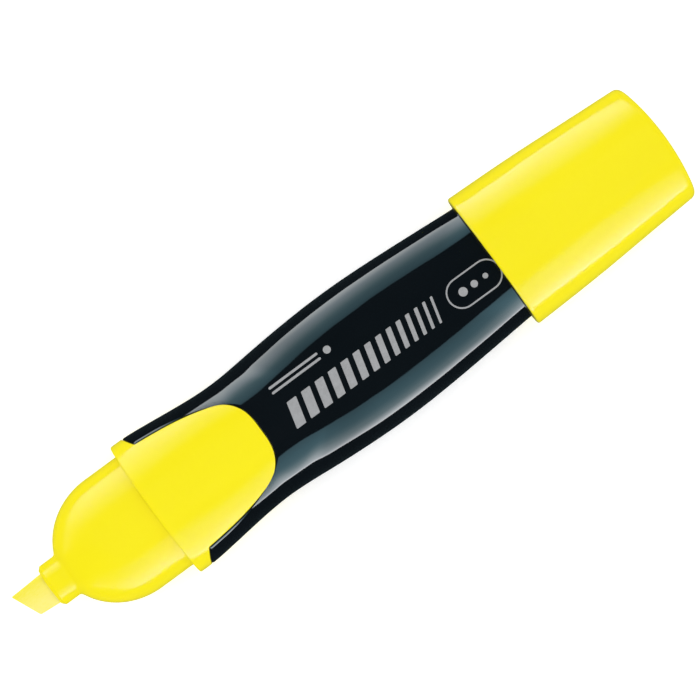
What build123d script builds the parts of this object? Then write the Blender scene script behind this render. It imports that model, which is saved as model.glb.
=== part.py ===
from build123d import *
import math
import os

# A flat, oval-section highlighter with a chisel nib, its cap pushed onto the tail.
# Millimetres. +X runs from the nib to the tail, +Y across the wide face and +Z up out of it.
# The origin is below the middle of the pen, on the plane that it rests on.

# Stations along the pen, counted back from the tip of the nib
overall_length = 122.8
spout_front = 5.6
dome_front = 9.1
seat_front = 19.7
flange_front = 25.85
flange_back = 28.0
rib_front = 37.0
cap_mouth = 90.2
barrel_back = 101.3
tail_back = 102.7

# The cross-section is an oval of four arcs about four fixed centres, and only its radii change
# along the pen: two side centres left and right, and two face centres below and above.
side_centre = 6.0
face_centre = 9.6

# Half-widths of the oval. The outside of flange and barrel is full at the flange, drawn in at
# the waist and swollen at the grip, and the cap tapers to its end: (station, half-width)
mouth_half_width = 11.85
tail_half_width = 9.87
body_profile = [
    (flange_front, mouth_half_width),
    (flange_back, 11.84),
    (31.5, 11.56),
    (36.6, 10.99),
    (44.0, 10.48),
    (51.0, 10.92),
    (58.0, 11.42),
    (66.6, 11.65),
    (75.0, 11.33),
    (83.0, 10.77),
    (cap_mouth, 10.24),
    (96.0, 9.95),
    (tail_back, tail_half_width),
]
cap_profile_stations = [
    (cap_mouth, mouth_half_width),
    (96.6, 11.66),
    (104.3, 11.32),
    (110.0, 10.96),
    (116.0, 10.58),
    (120.5, 10.31),
    (124.9, 10.0),
]
seat_half_width = 10.2
bore_half_width = 8.6
spigot_half_width = 9.88
counterbore_half_width = 9.9

# A narrow flat along the lowest line of the flange and of the cap's rim
rest_flat_depth = 0.05

# Front section
dome_reach = 11.3
dome_sections = 8
front_wall = 1.6
spout_half_width = 3.6
spout_half_thickness = 2.65
spout_side_radius = 2.1
spout_chamfer = 0.5
socket_back = 15.0
chamber_front = 12.0
spigot_back = 35.8
counterbore_back = 36.0
flange_edge_radius = 0.25
vent_width = 0.8
vent_depth = 0.4
vent_offset = 1.2

# Tongue: the front section's plate that lies flush in a notch of each wide face of the barrel.
# Its edge in plan runs from a corner at its root to its blunt end: (station, half-width)
tongue_edge = [
    (29.4, 9.75),
    (36.2, 8.95),
    (41.9, 7.58),
    (43.2, 7.08),
    (44.6, 6.06),
    (46.05, 3.66),
    (46.4, 1.2),
]
tongue_root_slope = (1, -0.11)
tongue_gap = 0.06

# Nib
nib_width = 5.04
nib_thickness = 3.0
nib_corner_radius = 0.7
nib_length = 25.0
nib_edge_thickness = 0.7
nib_edge_slant = 25.0
nib_wedge_length = 4.3
nib_fit = 0.02

# Ink reservoir and its film
reservoir_front = 20.0
reservoir_back = 95.5
wrap_half_width = 8.2
wrap_thickness = 0.15
rib_width = 0.8
rib_offset = 5.0
rib_gap = 0.02

# Tail plug
plug_spigot_half_width = 8.58
plug_spigot_front = 95.7
plug_wall = 1.2
plug_edge_radius = 0.6

# Cap
cap_wall = 1.45
cap_end_radius = 40.0
cap_edge_radius = 1.3
cap_rim_radius = 0.35
liner_front = 107.6
liner_back = 119.4
liner_plate = 1.0
liner_wall = 0.9
liner_spout_gap = 0.05
liner_cap_gap = 0.03
liner_vent_radius = 0.8
liner_vent_offset = 6.2

half_thickness = mouth_half_width + math.hypot(side_centre, face_centre) - side_centre - face_centre
axis_height = half_thickness - rest_flat_depth
tilt = math.degrees(math.atan2(side_centre, face_centre))
far = 2 * overall_length

# How far a cutting shape reaches past the end of what it cuts
overshoot = 1.0


def along(station):
    """The X coordinate of a station that is counted back from the tip of the nib."""
    return station - overall_length / 2


def section_plane(station):
    """The plane across the pen at a station: its own x is +Y and its own y is +Z."""
    return Plane(origin=(along(station), 0, axis_height), x_dir=(0, 1, 0), z_dir=(1, 0, 0))


def oval(station, half_width, scale=1.0):
    """The four-arc oval across the pen, with its centres drawn in by a scale."""
    side = side_centre * scale
    face = face_centre * scale
    side_radius = half_width - side
    face_radius = side_radius + math.hypot(side, face)
    quarter = 90 - tilt
    outline = [
        CenterArc((side, 0), side_radius, -quarter, 2 * quarter),
        CenterArc((0, -face), face_radius, quarter, 2 * tilt),
        CenterArc((-side, 0), side_radius, 180 - quarter, 2 * quarter),
        CenterArc((0, face), face_radius, 180 + quarter, 2 * tilt),
    ]
    return section_plane(station) * make_face(outline)


def small_oval(station, half_width, half_thickness_here, side_radius):
    """A four-arc oval given by its half-width, half-thickness and side radius."""
    side = half_width - side_radius
    rise = half_thickness_here - side_radius
    face_radius = (side**2 + half_thickness_here**2 - side_radius**2) / (2 * rise)
    face = face_radius - half_thickness_here
    lean = math.degrees(math.atan2(side, face))
    quarter = 90 - lean
    outline = [
        CenterArc((side, 0), side_radius, -quarter, 2 * quarter),
        CenterArc((0, -face), face_radius, quarter, 2 * lean),
        CenterArc((-side, 0), side_radius, 180 - quarter, 2 * quarter),
        CenterArc((0, face), face_radius, 180 + quarter, 2 * lean),
    ]
    return section_plane(station) * make_face(outline)


def oval_rod(front, back, half_width):
    """A straight rod of the oval between two stations."""
    return extrude(oval(front, half_width), amount=back - front)


def slab(front, back, width, height):
    """A block between two stations, centred on the pen's axis."""
    middle = Location((along((front + back) / 2), 0, axis_height))
    return middle * Box(back - front, width, height)


def body_outside():
    """The outside of flange and barrel in one sweep, its front edge rounded."""
    sweep = loft([oval(station, half_width) for station, half_width in body_profile])
    front_face = sweep.faces().sort_by(Axis.X)[0]
    return fillet(front_face.edges(), flange_edge_radius)


def dome(inset, front):
    """The rounded shoulder in front of the cap seat, an ellipse in plan, drawn in by an inset."""
    first = math.acos((seat_front - front) / dome_reach)
    step = (math.pi / 2 - first) / (dome_sections - 1)
    sections = []
    for i in range(dome_sections):
        angle = first + i * step
        station = seat_front - dome_reach * math.cos(angle)
        sections.append(oval(station, seat_half_width * math.sin(angle) - inset, math.sin(angle)))
    return loft(sections)


def front_outline(gap):
    """In plan, everything in front of the joint between front section and barrel, grown by a gap."""
    edge = [(along(station) + gap, half_width + gap) for station, half_width in tongue_edge[:-1]]
    tip = (along(tongue_edge[-1][0]) + gap, tongue_edge[-1][1])
    root = edge[0]
    corner = (along(flange_back) + gap, mouth_half_width)
    outer = (2 * corner[0] - root[0], 2 * corner[1] - root[1])
    side = [
        Line(outer, root),
        Spline(*edge, tip, tangents=[tongue_root_slope, (0, -1)]),
    ]
    mirrored = [mirror(curve, about=Plane.XZ) for curve in side]
    front = along(seat_front)
    across = Line(tip, (tip[0], -tip[1]))
    closing = Polyline(outer, (front, outer[1]), (front, -outer[1]), (outer[0], -outer[1]))
    return make_face(side + mirrored + [across, closing])


def front_region(gap):
    """The plan outline of the joint, cut through the pen's whole thickness."""
    return extrude(front_outline(gap), amount=far, both=True)


def nib_section(growth):
    """The nib's rounded rectangle, grown by a fit."""
    width = nib_width + 2 * growth
    height = nib_thickness + 2 * growth
    return RectangleRounded(width, height, nib_corner_radius + growth)


def nib_rod(front, back, growth=0.0):
    """A straight length of the nib's section."""
    return extrude(section_plane(front) * nib_section(growth), amount=back - front)


def make_nib():
    """A fibre rod ground to a slanted chisel, its long corner on the +Y side."""
    slant = math.radians(nib_edge_slant)
    tip_x = along(0) + nib_width / 2 * math.tan(slant)
    grind_plane = Plane(
        origin=(tip_x, 0, axis_height),
        x_dir=(math.cos(slant), math.sin(slant), 0),
        z_dir=(-math.sin(slant), math.cos(slant), 0),
    )
    edge = nib_edge_thickness / 2
    full = nib_thickness
    slope = (nib_thickness / 2 - edge) / nib_wedge_length
    wedge_end = (full - edge) / slope
    profile = Polyline(
        (0, -edge), (wedge_end, -full), (far, -full), (far, full), (wedge_end, full), (0, edge), close=True
    )
    grind = extrude(grind_plane * make_face(profile), amount=nib_width * 2, both=True)
    return nib_rod(0, nib_length) & grind


def rest_plane_cut(solid):
    """Trims a solid flat on the plane that the pen rests on."""
    return solid - Location((0, 0, -far / 2)) * Box(far, far, far)


def make_spout(back):
    """The short snout round the nib, its front rim chamfered."""
    section = small_oval(spout_front, spout_half_width, spout_half_thickness, spout_side_radius)
    snout = extrude(section, amount=back - spout_front)
    rim = snout.faces().sort_by(Axis.X)[0].edges()
    return chamfer(rim, spout_chamfer)


def make_front_section():
    """Spout, dome, cap seat, flange and two tongues in one moulding, with a spigot for the barrel."""
    flange = body_outside() & front_region(0)
    flange = rest_plane_cut(flange)
    skin = flange - oval_rod(seat_front, barrel_back, bore_half_width)
    seat = oval_rod(seat_front, flange_front, seat_half_width)
    spigot = oval_rod(flange_front, spigot_back, spigot_half_width)
    shell = dome(0, dome_front) + seat + spigot
    chamber = dome(front_wall, chamber_front) + oval_rod(seat_front, spigot_back, bore_half_width)
    body = shell - chamber + make_spout(socket_back) + skin
    body = body - nib_rod(0, seat_front, nib_fit)
    for side in (-1, 1):
        for face in (-1, 1):
            height = nib_thickness / 2 * face
            place = Location((along(socket_back / 2), side * vent_offset, axis_height + height))
            body = body - place * Box(socket_back + overshoot, vent_width, 2 * vent_depth)
    return body


def make_barrel():
    """The black shell: one piece from the flange to the tail, notched for the two tongues."""
    shell = body_outside() & slab(flange_front, barrel_back, far, far)
    shell = shell - oval_rod(flange_front, barrel_back, bore_half_width)
    shell = shell - oval_rod(flange_front, counterbore_back, counterbore_half_width)
    shell = shell - front_region(tongue_gap)
    lining = oval_rod(rib_front, plug_spigot_front, bore_half_width + rib_gap)
    lining = lining - oval_rod(rib_front, plug_spigot_front, wrap_half_width + rib_gap)
    for offset in (-rib_offset, 0, rib_offset):
        fin = Location((0, offset, axis_height)) * Box(far, rib_width, far)
        shell = shell + (lining & fin)
    for side in (-1, 1):
        fin = Location((0, side * bore_half_width, axis_height)) * Box(far, bore_half_width, rib_width)
        shell = shell + (lining & fin)
    return shell - front_region(tongue_gap)


def make_ink_reservoir():
    """The fibre core that holds the ink, with the nib's back end pushed into it."""
    core = oval_rod(reservoir_front, reservoir_back, wrap_half_width - wrap_thickness)
    return core - nib_rod(reservoir_front - overshoot, nib_length)


def make_reservoir_wrap():
    """The film round the fibre core, open at both ends."""
    outside = oval_rod(reservoir_front, reservoir_back, wrap_half_width)
    return outside - oval_rod(reservoir_front, reservoir_back, wrap_half_width - wrap_thickness)


def make_tail_plug():
    """The stopper in the barrel's back end, its lip flush with the barrel."""
    lip = oval_rod(barrel_back, tail_back, tail_half_width)
    lip = fillet(lip.faces().sort_by(Axis.X)[-1].edges(), plug_edge_radius)
    spigot = oval_rod(plug_spigot_front, barrel_back, plug_spigot_half_width)
    spigot = spigot - oval_rod(plug_spigot_front, barrel_back, plug_spigot_half_width - plug_wall)
    hollow = oval_rod(plug_spigot_front, barrel_back, plug_spigot_half_width - plug_wall / 2)
    web = slab(plug_spigot_front, barrel_back, far, plug_wall)
    upright = slab(plug_spigot_front, barrel_back, plug_wall, far)
    return lip + spigot + (hollow & (web + upright))


def cap_profile(inset):
    """The cap's long taper between its mouth and its end, drawn in by an inset."""
    return loft([oval(station, half_width - inset) for station, half_width in cap_profile_stations])


def end_ball(inset):
    """The ball that rounds the cap's end."""
    centre = Location((along(overall_length - cap_end_radius), 0, axis_height))
    reach = Location((along(overall_length), 0, axis_height)) * Box(2 * cap_end_radius, far, far)
    return centre * Sphere(cap_end_radius - inset) & reach


def rounded_end(solid, radius):
    """Rounds the edge between a cap surface's side and its ball end."""
    face = solid.faces().sort_by(Axis.X)[-1]
    return fillet(face.edges(), radius)


def cap_block(inset):
    """The cap's outside, or its cavity, as a solid with a ball end."""
    long_part = cap_profile(inset) & slab(cap_mouth, overall_length - cap_end_radius / 2, far, far)
    end_part = cap_profile(inset) & end_ball(inset)
    return long_part + end_part


def make_cap_shell():
    """The cap: a tapered oval cup with a crowned end."""
    outside = rounded_end(cap_block(0), cap_edge_radius)
    mouth = outside.faces().sort_by(Axis.X)[0]
    outside = fillet(mouth.edges(), cap_rim_radius)
    return rest_plane_cut(outside) - cap_block(cap_wall)


def make_inner_cap():
    """The liner that seals round the spout when the cap is on the nib, pressed into the cap."""
    half_width = spout_half_width + liner_spout_gap
    half_height = spout_half_thickness + liner_spout_gap
    hole = small_oval(liner_front, half_width, half_height, spout_side_radius)
    tube = small_oval(
        liner_front, half_width + liner_wall, half_height + liner_wall, spout_side_radius + liner_wall
    )
    sleeve = extrude(tube, amount=liner_back - liner_front)
    plate = cap_block(cap_wall + liner_cap_gap) & slab(liner_back - liner_plate, liner_back, far, far)
    body = sleeve + plate - extrude(hole, amount=liner_back - liner_plate - liner_front)
    for side in (-1, 1):
        place = section_plane(liner_back - 2 * liner_plate) * Location((side * liner_vent_offset, 0))
        body = body - extrude(place * Circle(liner_vent_radius), amount=4 * liner_plate)
    return body


parts = {
    "nib": make_nib(),
    "front_section": make_front_section(),
    "barrel": make_barrel(),
    "ink_reservoir": make_ink_reservoir(),
    "reservoir_wrap": make_reservoir_wrap(),
    "tail_plug": make_tail_plug(),
    "cap_shell": make_cap_shell(),
    "inner_cap": make_inner_cap(),
}

os.makedirs("parts", exist_ok=True)
for name, shape in parts.items():
    export_step(shape, f"parts/{name}.step")
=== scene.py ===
import math

import bmesh
import bpy
import numpy as np
from mathutils import Matrix, Vector


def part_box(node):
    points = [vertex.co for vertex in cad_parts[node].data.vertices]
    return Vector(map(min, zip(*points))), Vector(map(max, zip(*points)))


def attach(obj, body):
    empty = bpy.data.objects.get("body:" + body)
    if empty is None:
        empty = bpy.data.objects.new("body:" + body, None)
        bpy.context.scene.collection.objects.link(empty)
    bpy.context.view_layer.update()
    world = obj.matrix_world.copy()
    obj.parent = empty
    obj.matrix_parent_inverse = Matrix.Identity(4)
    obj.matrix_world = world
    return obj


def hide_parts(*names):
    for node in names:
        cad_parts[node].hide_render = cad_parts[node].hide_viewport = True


# The visual model of a flat, oval-section highlighter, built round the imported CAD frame.
# Shapes are worked out in millimetres along the pen and turned into metres when a mesh is made.
# A station is a distance back from the tip of the nib. A turn runs 0 to 4 round the section:
# 0 on top, 1 at the +Y side, 2 underneath, 3 at the -Y side.

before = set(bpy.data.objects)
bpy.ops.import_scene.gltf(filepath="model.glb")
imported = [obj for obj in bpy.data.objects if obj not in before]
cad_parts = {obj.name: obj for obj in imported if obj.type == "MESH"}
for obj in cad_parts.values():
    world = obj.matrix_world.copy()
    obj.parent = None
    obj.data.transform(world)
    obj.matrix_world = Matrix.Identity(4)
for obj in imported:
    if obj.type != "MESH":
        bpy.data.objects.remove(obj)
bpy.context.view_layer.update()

MM = 0.001
PEN, CAP = "pen", "cap"

nib_low, nib_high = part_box("nib")
cap_low, cap_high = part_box("cap_shell")
plug_low, plug_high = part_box("tail_plug")

NIB_TIP_X = nib_low.x / MM
AXIS_Z = (nib_low.z + nib_high.z) / 2 / MM


def station_of(x):
    """The station in millimetres of an X coordinate in metres."""
    return x / MM - NIB_TIP_X


# ---- driving dimensions, mm

SIDE, FACE = 6.0, 9.6  # the four fixed centres of the oval section
SPOUT_SHORT = 0.2  # the spout's front edge stands this far back from the CAD's
SPOUT_FRONT = station_of(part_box("front_section")[0].x) + SPOUT_SHORT
DOME_FRONT = 9.1
SEAT_FRONT = 19.7
FLANGE_FRONT = 25.85
BARREL_BACK = station_of(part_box("barrel")[1].x)
TAIL_BACK = station_of(plug_high.x)
CAP_MOUTH = station_of(cap_low.x)
CAP_APEX = station_of(cap_high.x)

SEAT_HALF = 10.2
DOME_REACH = 11.3
BORE_HALF = 8.6
SPIGOT_HALF = 9.88
SPIGOT_BACK = 35.8
COUNTERBORE_HALF = 9.9
COUNTERBORE_BACK = 36.0

# Half-widths of the oval at stations along flange and barrel, and along the cap
BODY_PROFILE = (
    (25.85, 11.85), (28.0, 11.84), (31.5, 11.56), (36.6, 10.99), (44.0, 10.48), (51.0, 10.92),
    (58.0, 11.42), (66.6, 11.65), (75.0, 11.33), (83.0, 10.77), (90.2, 10.24), (96.0, 9.95),
    (102.7, 9.87),
)
CAP_PROFILE = (
    (90.2, 11.85), (96.6, 11.66), (104.3, 11.32), (110.0, 10.96), (116.0, 10.58), (120.5, 10.31),
    (124.9, 10.0),
)

# The tongue's edge in plan, from the corner at its root to the middle of its end
TONGUE_EDGE = (
    (29.4, 9.75), (36.2, 8.95), (41.9, 7.58), (43.2, 7.08), (44.6, 6.06), (46.05, 3.66), (46.4, 1.2),
    (46.4, 0.0),
)
FLANGE_BACK_AT_SIDE = 28.0
TONGUE_GAP = 0.14

# The rounding beside the joint, along the surface and down from it: on the tongue and on the barrel's notch
TONGUE_ROUNDING, NOTCH_ROUNDING = (0.12, 0.12), (0.42, 0.15)

TONGUE_COLUMNS, SIDE_COLUMNS = 56, 14  # columns in a quarter turn, along the tongue and beside it
ROOT_SHARE = 0.70  # share of the quarter turn that the tongue's columns take
CAP_COLUMNS = 60
EDGE_ROWS, ARC_ROWS = 8, 7  # rows round a rounded edge and round a small arc
FINE = 0.06  # row spacing at an edge
LEAST_RADIUS = 1e-6
WALL_SHARES = (0.35, 0.7)  # rows down the joint's wall, as shares of its depth


# ---- curves and sections

def natural_spline(points):
    """A smooth curve through points, as a function of their first coordinate."""
    x, y = (np.array(column, float) for column in zip(*points))
    h = np.diff(x)
    n = len(x)
    system, right = np.eye(n), np.zeros(n)
    for i in range(1, n - 1):
        system[i, i - 1:i + 2] = h[i - 1], 2 * (h[i - 1] + h[i]), h[i]
        right[i] = 6 * ((y[i + 1] - y[i]) / h[i] - (y[i] - y[i - 1]) / h[i - 1])
    bend = np.linalg.solve(system, right)

    def value(at):
        at = np.clip(np.asarray(at, float), x[0], x[-1])
        i = np.clip(np.searchsorted(x, at) - 1, 0, n - 2)
        a, b = x[i + 1] - at, at - x[i]
        curved = (bend[i] * a**3 + bend[i + 1] * b**3) / (6 * h[i])
        from_low = (y[i] / h[i] - bend[i] * h[i] / 6) * a
        from_high = (y[i + 1] / h[i] - bend[i + 1] * h[i] / 6) * b
        return curved + from_low + from_high

    return value


body_half = natural_spline(BODY_PROFILE)
cap_half = natural_spline(CAP_PROFILE)


def unit(vectors):
    """Vectors of length 1."""
    return vectors / np.linalg.norm(vectors, axis=1)[:, None]


def folded(turn):
    """The quarter that a turn falls in, and its share of the way from top or bottom to the side."""
    quarter = np.floor(turn).astype(int) % 4
    part = turn - np.floor(turn)
    return quarter, np.where(quarter % 2 == 1, 1 - part, part)


def length_to(angle, half, side=SIDE, face=FACE):
    """Length round the oval's first quarter, from the top to where its normal leans by an angle."""
    tilt = np.arctan2(side, face)
    past = np.maximum(angle - tilt, 0)
    return (half - side + np.hypot(side, face)) * np.minimum(angle, tilt) + (half - side) * past


def quarter_length(half, side=SIDE, face=FACE):
    """Length of a quarter of the oval."""
    return length_to(math.pi / 2, half, side, face)


def slope_angle(turn, half, side=SIDE, face=FACE):
    """The angle between the section's outward normal and +Z at a turn."""
    tilt = np.arctan2(side, face)
    side_radius = np.maximum(half - side, LEAST_RADIUS)
    face_radius = side_radius + np.hypot(side, face)
    quarter, part = folded(turn)
    length = part * quarter_length(half, side, face)
    flat = face_radius * tilt
    angle = np.where(length < flat, length / face_radius, tilt + (length - flat) / side_radius)
    return np.choose(quarter, (angle, math.pi - angle, math.pi + angle, 2 * math.pi - angle))


def oval_at(angle, half, side=SIDE, face=FACE):
    """Y and Z of the oval where its normal leans by an angle from +Z."""
    side_radius = half - side
    face_radius = side_radius + np.hypot(side, face)
    s, c = np.sin(angle), np.cos(angle)
    on_side = np.abs(s) > np.sin(np.arctan2(side, face))
    y = np.where(on_side, side * np.sign(s) + side_radius * s, face_radius * s)
    z = np.where(on_side, side_radius * c, face_radius * c - face * np.sign(c))
    return y, z


def ring(station, turn, half, side=SIDE, face=FACE):
    """One ring of points round the pen. Station and half-width may differ from column to column."""
    turn = np.asarray(turn, float)
    half = np.broadcast_to(np.asarray(half, float), turn.shape)
    y, z = oval_at(slope_angle(turn, half, side, face), half, side, face)
    return place(station, y, z)


def place(station, y, z):
    """Points at a station, with Y and Z counted from the pen's axis, resting on the floor plane."""
    x = np.broadcast_to(np.asarray(station, float), y.shape) + NIB_TIP_X
    return np.stack([x, y, np.maximum(z + AXIS_Z, 0.0)], axis=-1)


def rounded_rectangle(turn, half_width, half_height, radius):
    """Y and Z of a rounded rectangle, evenly spaced along each quarter."""
    quarter, part = folded(turn)
    flat, upright, bend = half_width - radius, half_height - radius, radius * math.pi / 2
    length = part * (flat + bend + upright)
    lean = np.clip((length - flat) / radius, 0, math.pi / 2)
    y = np.where(length < flat, length, flat + radius * np.sin(lean))
    z = upright + radius * np.cos(lean) - np.maximum(length - flat - bend, 0)
    y = np.where(quarter >= 2, -y, y)
    z = np.where((quarter == 1) | (quarter == 2), -z, z)
    return y, z


def arc_rows(station, half, along, out, count, turn):
    """Rings round a quarter arc that joins a side, at a half-width, to a face, at a station. Its radii are
    signed: along the pen to where the arc leaves the side, and outwards to where it meets the face."""
    leans = np.linspace(0, math.pi / 2, count)
    return [ring(station + along * (1 - math.sin(a)), turn, half + out * (1 - math.cos(a))) for a in leans]


def spaced(start, stop, step):
    """Evenly spaced values from start to stop, no further apart than step."""
    return np.linspace(start, stop, max(2, int(math.ceil(abs(stop - start) / step)) + 1))


# ---- meshes

MERGE_DISTANCE = 1e-7  # metres
SHARP_ANGLE = 38.0  # degrees


def add_to_scene(name, data):
    """A new object in the scene."""
    thing = bpy.data.objects.new(name, data)
    bpy.context.scene.collection.objects.link(thing)
    return thing


def finish_piece(name, mesh, material):
    """Puts a mesh in the scene, smooth-shaded."""
    mesh.shade_smooth()
    mesh.set_sharp_from_angle(angle=math.radians(SHARP_ANGLE))
    mesh.materials.append(material)
    return add_to_scene(name, mesh)


def skin(name, rings, material, body, closed=False):
    """A piece from rings of points in millimetres: a closed tube, or a shell whose ends come to points."""
    columns = len(rings[0])
    vertices = np.concatenate(rings)
    faces = []
    for row in range(len(rings) if closed else len(rings) - 1):
        here, there = row * columns, (row + 1) % len(rings) * columns
        for column in range(columns):
            after = (column + 1) % columns
            faces.append((here + column, here + after, there + after, there + column))
    ends = () if closed else (0, len(rings) - 1)
    for row in ends:
        tip = len(vertices)
        vertices = np.concatenate([vertices, rings[row].mean(axis=0)[None]])
        for column in range(columns):
            faces.append((row * columns + column, row * columns + (column + 1) % columns, tip))
    mesh = bpy.data.meshes.new(name)
    mesh.from_pydata((vertices * MM).tolist(), [], faces)
    work = bmesh.new()
    work.from_mesh(mesh)
    bmesh.ops.remove_doubles(work, verts=work.verts, dist=MERGE_DISTANCE)
    bmesh.ops.dissolve_degenerate(work, edges=work.edges, dist=MERGE_DISTANCE)
    bmesh.ops.recalc_face_normals(work, faces=work.faces)
    work.to_mesh(mesh)
    work.free()
    piece = finish_piece(name, mesh, material)
    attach(piece, body)
    return piece


# ---- the joint between front and barrel

def quarter_columns():
    """Turns of a plain ring's columns in the first quarter."""
    first = np.linspace(0, ROOT_SHARE, TONGUE_COLUMNS + 1)
    second = np.linspace(ROOT_SHARE, 1, SIDE_COLUMNS + 1)
    return np.concatenate([first, second[1:]])


def whole_turn(quarter, mirrored):
    """A quarter's column values carried round the section, as mirrored values or as turns."""
    forward, backward = quarter[:-1], quarter[:0:-1]
    if mirrored:
        return np.concatenate([forward, backward, forward, backward])
    return np.concatenate([forward, 2 - backward, 2 + forward, 4 - backward])


def joint_line():
    """Stations and lengths round the section of the line where the yellow front meets the barrel."""
    edge = np.array(TONGUE_EDGE[::-1])
    steps = np.concatenate([[0], np.cumsum(np.hypot(*np.diff(edge, axis=0).T))])
    along = natural_spline(list(zip(steps, edge[:, 0])))
    across = natural_spline(list(zip(steps, edge[:, 1])))
    at = np.linspace(0, steps[-1], TONGUE_COLUMNS + 1)
    station, y = along(at), across(at)
    half = body_half(station)
    face_radius = half - SIDE + math.hypot(SIDE, FACE)
    face_angle = np.arcsin(np.clip(y / face_radius, -1, 1))
    side_angle = np.arcsin(np.clip((y - SIDE) / (half - SIDE), -1, 1))
    angle = np.where(face_angle < math.atan2(SIDE, FACE), face_angle, side_angle)
    root_station, root_half_width = TONGUE_EDGE[0]
    lean = np.linspace(angle[-1], math.pi / 2, SIDE_COLUMNS + 1)[1:]
    flange_half = body_half(FLANGE_BACK_AT_SIDE)
    reach = (SIDE + (flange_half - SIDE) * np.sin(lean) - root_half_width) / (flange_half - root_half_width)
    side_station = root_station + (FLANGE_BACK_AT_SIDE - root_station) * np.clip(reach, 0, 1)
    lengths = length_to(angle, half), length_to(lean, body_half(side_station))
    return np.concatenate([station, side_station]), np.concatenate(lengths)


PLAIN_TURN = whole_turn(quarter_columns(), mirrored=False)
line_station, line_length = joint_line()
LINE_STATION = whole_turn(line_station, mirrored=True)
LINE_TURN = whole_turn(line_length / quarter_length(body_half(line_station)), mirrored=False)
LINE_QUARTER = quarter_length(body_half(LINE_STATION))
LINE_LENGTH = LINE_TURN * LINE_QUARTER


def line_offset(distance):
    """Stations and turns of the joint line moved towards the tail by a distance, square to the line."""
    whole = 4 * LINE_QUARTER
    step_station = np.roll(LINE_STATION, -1) - np.roll(LINE_STATION, 1)
    step_length = np.roll(LINE_LENGTH, -1) - np.roll(LINE_LENGTH, 1)
    step_length = np.mod(step_length + whole / 2, whole) - whole / 2
    size = np.hypot(step_station, step_length)
    station = LINE_STATION + distance * (step_length / size)
    length = LINE_LENGTH - distance * (step_station / size)
    return station, length / quarter_length(body_half(station))


def edge_rows(sign, gap, rounding):
    """The rounded edge beside the joint line, from the outer surface down to the joint's wall."""
    width, depth = rounding
    rows = []
    for lean in np.linspace(0, math.pi / 2, EDGE_ROWS):
        station, turn = line_offset(sign * (width * (1 - math.sin(lean)) + gap))
        rows.append(ring(station, turn, body_half(station) - depth * (1 - math.cos(lean))))
    return rows


def fan_rows(plain_station, sign, gap, rounding, count):
    """Rows from a plain ring to the rounded edge beside the joint line."""
    edge_station, edge_turn = line_offset(sign * (rounding[0] + gap + FINE))
    rows = []
    for share in np.linspace(0, 1, count):
        station = plain_station + (edge_station - plain_station) * share
        turn = PLAIN_TURN + (edge_turn - PLAIN_TURN) * share
        rows.append(ring(station, turn, body_half(station)))
    return rows


# ---- the front section

SPOUT_HALF, SPOUT_THICK = 3.6, 2.65
SPOUT_SIDE_RADIUS = 2.1
SPOUT_CHAMFER = 0.5
SOCKET_BACK = 15.0
CHAMBER_FRONT = 12.0
FRONT_WALL = 1.6
FLANGE_EDGE_RADIUS = 0.25
FLANGE_FOOT_RADIUS = 0.12
NIB_HALF_WIDTH = (nib_high.y - nib_low.y) / 2 / MM
NIB_HALF_THICKNESS = (nib_high.z - nib_low.z) / 2 / MM
NIB_CORNER = 0.7
NIB_FLARE = 0.42  # how much wider the nib is at the spout than at its tip, on its -Y side
CHANNEL_GAP = 0.03
CHANNEL_STEP = 1.0
CHANNEL_LIP = 0.12  # length of the channel's last stretch before its mouth
VENT_OFFSET, VENT_HALF, VENT_DEPTH = 1.2, 0.4, 0.4
SPOUT_LIP = 0.1  # width of the flat between the spout's chamfer and the channel
SPOUT_ROOT = 0.35  # distance before the dome where the spout starts to flare
DOME_ROOT = 0.07  # angle over the dome where that flare ends, in radians
ROOT_FOLLOW = 0.05  # how far the columns have by then turned to the plain ones
CHAMFER_ROWS, SPOUT_ROWS, ROOT_ROWS, DOME_ROWS = 5, 8, 6, 42
SPIGOT_INSIDE_ROWS, CHAMBER_ROWS = 12, 10
MEETING_TRIES = 4001  # turns tried where the spout meets the dome
SEAT_STEP = 0.5
FRONT_FAN_ROWS, BARREL_FAN_ROWS = 44, 40


def spout_ring(station, inset=0.0):
    """A ring of the spout, a small oval of four arcs drawn in evenly by an inset."""
    side, rise = SPOUT_HALF - SPOUT_SIDE_RADIUS, SPOUT_THICK - SPOUT_SIDE_RADIUS
    face = (side**2 - rise**2) / (2 * rise)
    return ring(station, PLAIN_TURN, SPOUT_HALF - inset, side, face)


def channel_ring(station):
    """A ring of the nib's channel, with a vent groove above and below each half of the nib."""
    half_width = NIB_HALF_WIDTH + NIB_FLARE / 2 + CHANNEL_GAP
    half_height = NIB_HALF_THICKNESS + CHANNEL_GAP
    y, z = rounded_rectangle(PLAIN_TURN, half_width, half_height, NIB_CORNER + CHANNEL_GAP)
    y = y - NIB_FLARE / 2
    groove = np.abs(np.abs(y) - VENT_OFFSET) < VENT_HALF
    z = np.where(groove, np.sign(z) * (NIB_HALF_THICKNESS + VENT_DEPTH), z)
    return place(station, y, z)


def dome_ring(angle, turn, inset=0.0):
    """A ring of the dome, an ellipse in plan. Angle and turn may differ from column to column."""
    scale = np.sin(angle)
    base = slope_angle(turn, SEAT_HALF)
    y, z = oval_at(base, SEAT_HALF)
    station = SEAT_FRONT - DOME_REACH * np.cos(angle)
    return place(station, y * scale - inset * np.sin(base), z * scale - inset * np.cos(base))


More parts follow.
